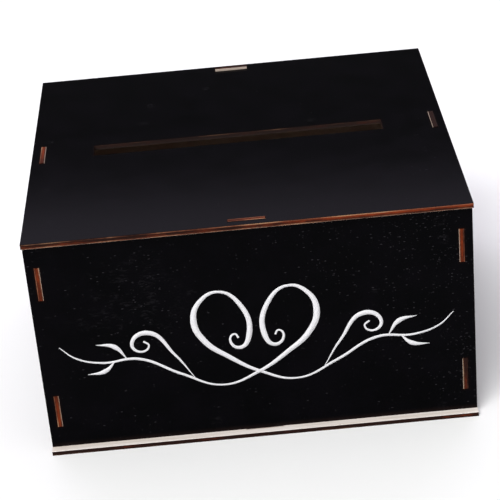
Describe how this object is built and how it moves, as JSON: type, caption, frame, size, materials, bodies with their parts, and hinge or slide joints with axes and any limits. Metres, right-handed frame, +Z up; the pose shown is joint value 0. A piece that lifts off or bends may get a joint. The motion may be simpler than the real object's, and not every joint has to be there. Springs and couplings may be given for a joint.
{
  "type": "card box",
  "caption": "Slotted gift-card box of tab-and-slot plywood boards with a lift-off lid and a long card slot, for wedding cards and envelopes.",
  "frame": {"origin": "middle of the base's underside, on the surface the box stands on", "axes": "+X to the right along the width, the card slot's direction; -Y towards the front wall; +Z up, the way the lid lifts"},
  "size_m": [0.3, 0.28, 0.1688],
  "materials": {
    "black_plywood": "satin black stain on the outer faces, bare birch inside, laser-browned edges"
  },
  "bodies": {
    "box": {"base": "black_plywood", "front_wall": "black_plywood", "back_wall": "black_plywood", "left_wall": "black_plywood", "right_wall": "black_plywood"},
    "lid": {"lid": "black_plywood"}
  },
  "joints": [
    {"name": "lid_lift", "type": "slide", "parent": "box", "child": "lid", "axis": [0, 0, 1], "range_m": [0, 0.12]}
  ]
}
